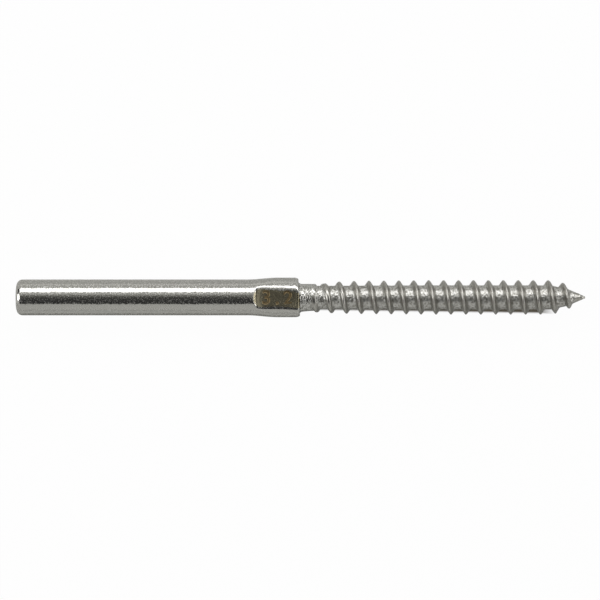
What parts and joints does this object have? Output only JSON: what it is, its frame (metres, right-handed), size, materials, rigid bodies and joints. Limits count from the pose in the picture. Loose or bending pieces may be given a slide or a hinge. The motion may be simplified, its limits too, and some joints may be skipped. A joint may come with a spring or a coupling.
{
  "type": "threaded swage terminal",
  "caption": "Lag-screw swage terminal in one piece: a blind-bored barrel to be pressed onto wire rope, a collar with spanner flats, a plain shank and a pointed wood-screw thread.",
  "frame": {"origin": "centre of the wire bore's mouth, on the axis", "axes": "+X along the axis from the mouth to the point, +Z square to one spanner flat, +Y across the flats"},
  "size_m": [0.099, 0.0068, 0.0062],
  "materials": {
    "stainless_steel": "polished barrel and collar, pressed flats, satin rolled thread"
  },
  "bodies": {
    "root": {"swage_terminal": "stainless_steel"}
  },
  "joints": []
}
